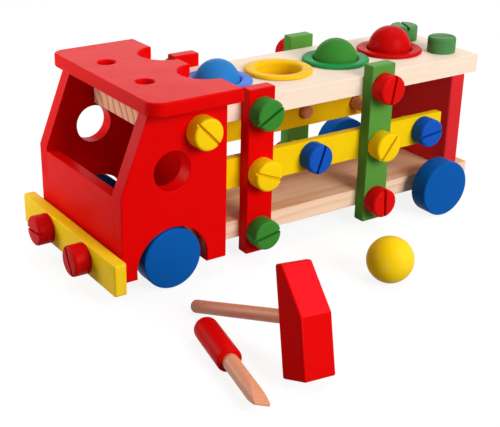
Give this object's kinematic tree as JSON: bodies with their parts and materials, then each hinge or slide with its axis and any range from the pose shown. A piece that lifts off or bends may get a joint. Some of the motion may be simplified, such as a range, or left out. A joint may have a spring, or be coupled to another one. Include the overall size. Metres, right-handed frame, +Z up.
{
  "type": "wooden take-apart toy truck",
  "caption": "Wooden take-apart toy truck with a ball-pounding bed, held together by big slotted wooden screws, with its hammer, screwdriver and loose ball.",
  "frame": {"origin": "middle of the footprint of the whole set, on the floor", "axes": "+X to the truck's front, +Y to its left side, where the tools lie, and +Z up"},
  "size_m": [0.4796, 0.4037, 0.188],
  "materials": {
    "red_paint": "satin red paint on wood",
    "yellow_paint": "satin yellow paint on wood",
    "green_paint": "satin green paint on wood",
    "blue_paint": "satin blue paint on wood",
    "pine": "pale lacquered wood",
    "beech": "plain turned wood"
  },
  "bodies": {
    "truck": {"roof": "red_paint", "left_cab_side": "red_paint", "left_cab_spacer": "beech", "left_bumper_spacer": "beech", "left_front_post": "red_paint", "left_rear_post": "green_paint", "left_rail": "yellow_paint", "right_cab_side": "red_paint", "right_cab_spacer": "beech", "right_bumper_spacer": "beech", "right_front_post": "red_paint", "right_rear_post": "green_paint", "right_rail": "yellow_paint", "cab_front": "red_paint", "cab_back": "red_paint", "top_board": "pine", "bottom_board": "pine", "rear_panel": "red_paint", "bumper": "yellow_paint", "blue_ring": "blue_paint", "yellow_ring": "yellow_paint", "green_ring": "green_paint", "red_ring": "red_paint"},
    "front_wheelset": {"front_axle": "beech", "left_front_wheel": "blue_paint", "right_front_wheel": "blue_paint"},
    "rear_wheelset": {"rear_axle": "beech", "left_rear_wheel": "blue_paint", "right_rear_wheel": "blue_paint"},
    "left_front_post_screw_top_body": {"left_front_post_screw_top": "green_paint"},
    "left_front_post_screw_middle_body": {"left_front_post_screw_middle": "yellow_paint"},
    "left_front_post_screw_bottom_body": {"left_front_post_screw_bottom": "green_paint"},
    "left_rear_post_screw_top_body": {"left_rear_post_screw_top": "red_paint"},
    "left_rear_post_screw_middle_body": {"left_rear_post_screw_middle": "yellow_paint"},
    "left_rear_post_screw_bottom_body": {"left_rear_post_screw_bottom": "red_paint"},
    "left_rail_screw_middle_body": {"left_rail_screw_middle": "blue_paint"},
    "left_rail_screw_rear_body": {"left_rail_screw_rear": "blue_paint"},
    "left_cab_screw_body": {"left_cab_screw": "yellow_paint"},
    "left_top_screw_body": {"left_top_screw": "green_paint"},
    "left_bumper_screw_body": {"left_bumper_screw": "red_paint"},
    "right_front_post_screw_top_body": {"right_front_post_screw_top": "green_paint"},
    "right_front_post_screw_middle_body": {"right_front_post_screw_middle": "yellow_paint"},
    "right_front_post_screw_bottom_body": {"right_front_post_screw_bottom": "green_paint"},
    "right_rear_post_screw_top_body": {"right_rear_post_screw_top": "red_paint"},
    "right_rear_post_screw_middle_body": {"right_rear_post_screw_middle": "yellow_paint"},
    "right_rear_post_screw_bottom_body": {"right_rear_post_screw_bottom": "red_paint"},
    "right_rail_screw_middle_body": {"right_rail_screw_middle": "blue_paint"},
    "right_rail_screw_rear_body": {"right_rail_screw_rear": "blue_paint"},
    "right_cab_screw_body": {"right_cab_screw": "yellow_paint"},
    "right_top_screw_body": {"right_top_screw": "green_paint"},
    "right_bumper_screw_body": {"right_bumper_screw": "red_paint"},
    "blue_ball_body": {"blue_ball": "blue_paint"},
    "green_ball_body": {"green_ball": "green_paint"},
    "red_ball_body": {"red_ball": "red_paint"},
    "spare_ball": {"loose_ball": "yellow_paint"},
    "hammer": {"hammer_head": "red_paint", "hammer_handle": "beech"},
    "screwdriver": {"screwdriver_handle": "red_paint", "screwdriver_shaft": "beech"}
  },
  "joints": [
    {"name": "front_wheels_roll", "type": "hinge", "parent": "truck", "child": "front_wheelset", "pos_m": [0.155, -0.10035, 0.03], "axis": [0, 1, 0], "continuous": true},
    {"name": "rear_wheels_roll", "type": "hinge", "parent": "truck", "child": "rear_wheelset", "pos_m": [-0.1778, -0.10035, 0.03], "axis": [0, 1, 0], "continuous": true},
    {"name": "left_front_post_screw_top_out", "type": "slide", "parent": "truck", "child": "left_front_post_screw_top_body", "axis": [0, 1, 0], "range_m": [0, 0.034]},
    {"name": "left_front_post_screw_middle_out", "type": "slide", "parent": "truck", "child": "left_front_post_screw_middle_body", "axis": [0, 1, 0], "range_m": [0, 0.034]},
    {"name": "left_front_post_screw_bottom_out", "type": "slide", "parent": "truck", "child": "left_front_post_screw_bottom_body", "axis": [0, 1, 0], "range_m": [0, 0.034]},
    {"name": "left_rear_post_screw_top_out", "type": "slide", "parent": "truck", "child": "left_rear_post_screw_top_body", "axis": [0, 1, 0], "range_m": [0, 0.034]},
    {"name": "left_rear_post_screw_middle_out", "type": "slide", "parent": "truck", "child": "left_rear_post_screw_middle_body", "axis": [0, 1, 0], "range_m": [0, 0.034]},
    {"name": "left_rear_post_screw_bottom_out", "type": "slide", "parent": "truck", "child": "left_rear_post_screw_bottom_body", "axis": [0, 1, 0], "range_m": [0, 0.034]},
    {"name": "left_rail_screw_middle_out", "type": "slide", "parent": "truck", "child": "left_rail_screw_middle_body", "axis": [0, 1, 0], "range_m": [0, 0.034]},
    {"name": "left_rail_screw_rear_out", "type": "slide", "parent": "truck", "child": "left_rail_screw_rear_body", "axis": [0, 1, 0], "range_m": [0, 0.034]},
    {"name": "left_cab_screw_out", "type": "slide", "parent": "truck", "child": "left_cab_screw_body", "axis": [0, 1, 0], "range_m": [0, 0.034]},
    {"name": "left_top_screw_out", "type": "slide", "parent": "truck", "child": "left_top_screw_body", "axis": [0, 0, 1], "range_m": [0, 0.034]},
    {"name": "left_bumper_screw_out", "type": "slide", "parent": "truck", "child": "left_bumper_screw_body", "axis": [1, 0, 0], "range_m": [0, 0.034]},
    {"name": "right_front_post_screw_top_out", "type": "slide", "parent": "truck", "child": "right_front_post_screw_top_body", "axis": [0, -1, 0], "range_m": [0, 0.034]},
    {"name": "right_front_post_screw_middle_out", "type": "slide", "parent": "truck", "child": "right_front_post_screw_middle_body", "axis": [0, -1, 0], "range_m": [0, 0.034]},
    {"name": "right_front_post_screw_bottom_out", "type": "slide", "parent": "truck", "child": "right_front_post_screw_bottom_body", "axis": [0, -1, 0], "range_m": [0, 0.034]},
    {"name": "right_rear_post_screw_top_out", "type": "slide", "parent": "truck", "child": "right_rear_post_screw_top_body", "axis": [0, -1, 0], "range_m": [0, 0.034]},
    {"name": "right_rear_post_screw_middle_out", "type": "slide", "parent": "truck", "child": "right_rear_post_screw_middle_body", "axis": [0, -1, 0], "range_m": [0, 0.034]},
    {"name": "right_rear_post_screw_bottom_out", "type": "slide", "parent": "truck", "child": "right_rear_post_screw_bottom_body", "axis": [0, -1, 0], "range_m": [0, 0.034]},
    {"name": "right_rail_screw_middle_out", "type": "slide", "parent": "truck", "child": "right_rail_screw_middle_body", "axis": [0, -1, 0], "range_m": [0, 0.034]},
    {"name": "right_rail_screw_rear_out", "type": "slide", "parent": "truck", "child": "right_rail_screw_rear_body", "axis": [0, -1, 0], "range_m": [0, 0.034]},
    {"name": "right_cab_screw_out", "type": "slide", "parent": "truck", "child": "right_cab_screw_body", "axis": [0, -1, 0], "range_m": [0, 0.034]},
    {"name": "right_top_screw_out", "type": "slide", "parent": "truck", "child": "right_top_screw_body", "axis": [0, 0, 1], "range_m": [0, 0.034]},
    {"name": "right_bumper_screw_out", "type": "slide", "parent": "truck", "child": "right_bumper_screw_body", "axis": [1, 0, 0], "range_m": [0, 0.034]},
    {"name": "blue_ball_pounded_down", "type": "slide", "parent": "truck", "child": "blue_ball_body", "axis": [0, 0, -1], "range_m": [0, 0.0997]},
    {"name": "green_ball_pounded_down", "type": "slide", "parent": "truck", "child": "green_ball_body", "axis": [0, 0, -1], "range_m": [0, 0.1002]},
    {"name": "red_ball_pounded_down", "type": "slide", "parent": "truck", "child": "red_ball_body", "axis": [0, 0, -1], "range_m": [0, 0.1037]},
    {"name": "spare_ball_lift", "type": "slide", "parent": "truck", "child": "spare_ball", "axis": [0, 0, 1], "range_m": [0, 0.2]},
    {"name": "hammer_lift", "type": "slide", "parent": "truck", "child": "hammer", "axis": [0, 0, 1], "range_m": [0, 0.2]},
    {"name": "screwdriver_lift", "type": "slide", "parent": "truck", "child": "screwdriver", "axis": [0, 0, 1], "range_m": [0, 0.2]}
  ]
}
